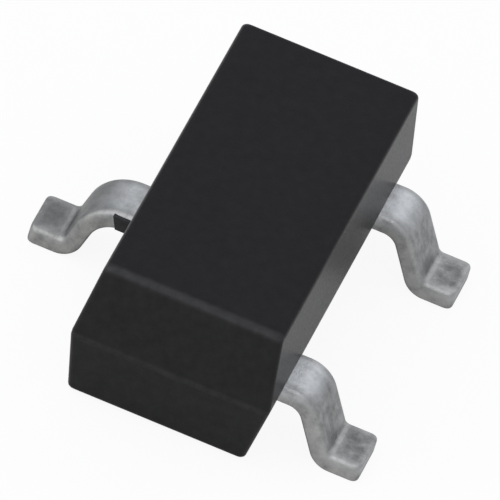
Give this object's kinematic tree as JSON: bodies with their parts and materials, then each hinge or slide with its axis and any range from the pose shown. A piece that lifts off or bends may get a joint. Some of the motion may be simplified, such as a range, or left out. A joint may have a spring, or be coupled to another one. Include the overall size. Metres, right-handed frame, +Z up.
{
  "type": "surface-mount transistor",
  "caption": "Surface-mount transistor with a black moulded body, drafted walls and tinned gull-wing leads along both long sides, for soldering to a circuit board.",
  "frame": {"origin": "on the seating plane, under the middle of the part", "axes": "+X along the body's length, from the base lead towards the emitter lead; +Y towards the collector lead; +Z up, out of the top face"},
  "size_m": [0.0028, 0.0026, 0.001],
  "materials": {
    "moulding": "matte moulded epoxy",
    "tin_plate": "satin tin plate over the stamped lead frame",
    "attach": "silver-filled epoxy",
    "silicon": "polished silicon",
    "gold_wire": "drawn gold"
  },
  "bodies": {
    "root": {"mould_body": "moulding", "collector_lead": "tin_plate", "base_lead": "tin_plate", "emitter_lead": "tin_plate", "die_attach": "attach", "silicon_die": "silicon", "base_bond_wire": "gold_wire", "emitter_bond_wire": "gold_wire"}
  },
  "joints": []
}
